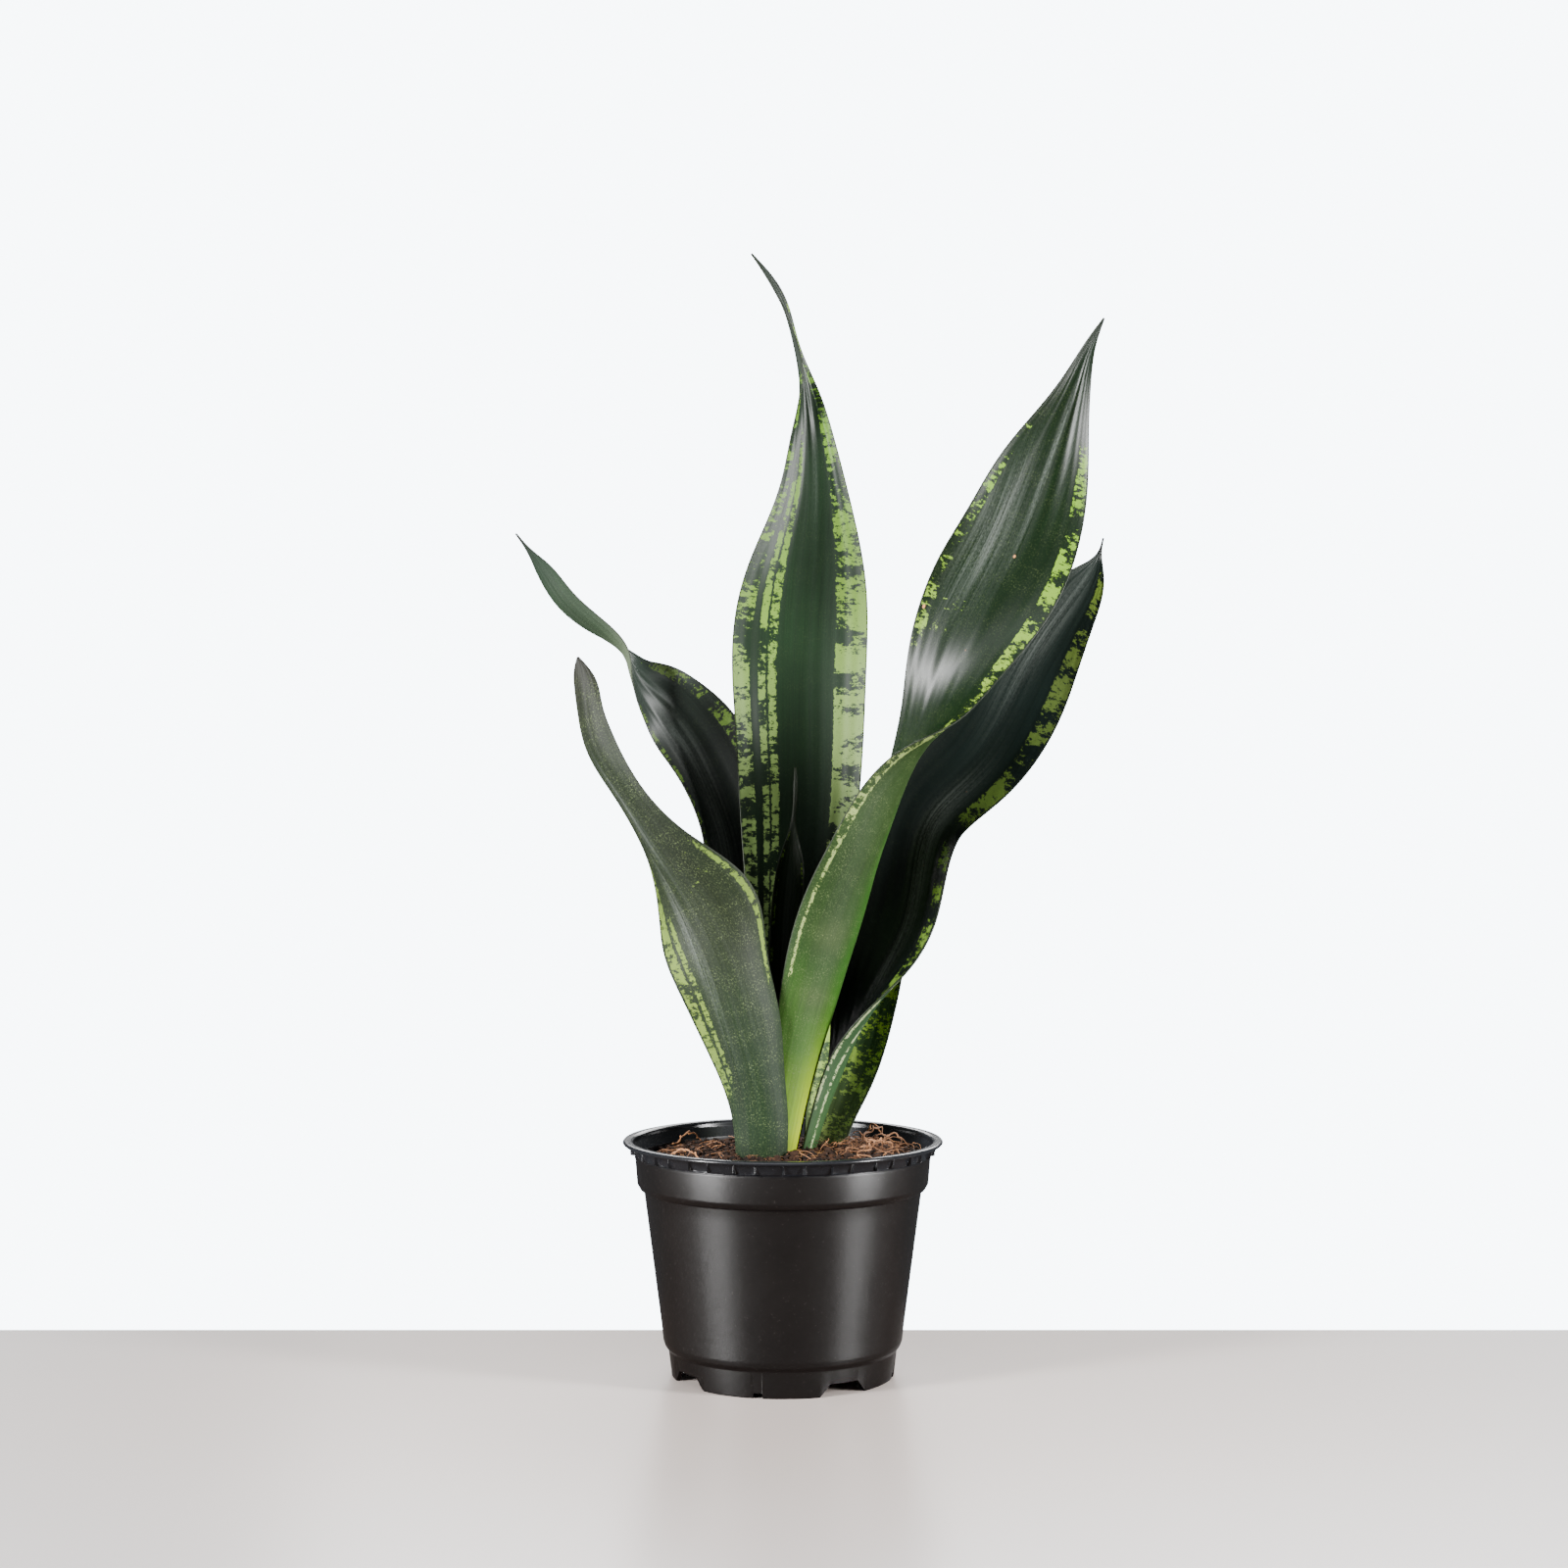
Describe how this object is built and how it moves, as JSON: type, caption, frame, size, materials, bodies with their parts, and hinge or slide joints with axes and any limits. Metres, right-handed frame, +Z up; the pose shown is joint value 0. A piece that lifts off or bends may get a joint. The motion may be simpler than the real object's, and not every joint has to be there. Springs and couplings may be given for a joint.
{
  "type": "potted snake plant",
  "caption": "Snake plant with broad twisting leaves, mottled pale along their margins, growing from soil in a tapered black nursery pot with a rolled rim and notched foot.",
  "frame": {"origin": "where the pot's axis meets the surface that it stands on, on the foot pad in the middle of the pot's floor", "axes": "+Z up along the pot's axis, -Y the front, towards the viewer, +X the viewer's right"},
  "size_m": [0.2849, 0.1524, 0.5333],
  "materials": {
    "pot_plastic": "satin",
    "soil": "matte",
    "rhizome": "matte",
    "leaf_green": "satin",
    "leaf_dark": "satin",
    "root_fibre": "matte"
  },
  "bodies": {
    "root": {"pot": "pot_plastic", "soil": "soil", "rhizome": "rhizome", "leaf_front_left": "leaf_green", "leaf_centre_tall": "leaf_green", "leaf_right_twisted": "leaf_green", "leaf_right_dark": "leaf_dark", "leaf_right_short": "leaf_green", "leaf_left_back": "leaf_dark", "leaf_young_centre": "leaf_dark", "root_fibre_1": "root_fibre", "root_fibre_2": "root_fibre", "root_fibre_3": "root_fibre", "root_fibre_4": "root_fibre", "root_fibre_5": "root_fibre", "root_fibre_6": "root_fibre"}
  },
  "joints": []
}
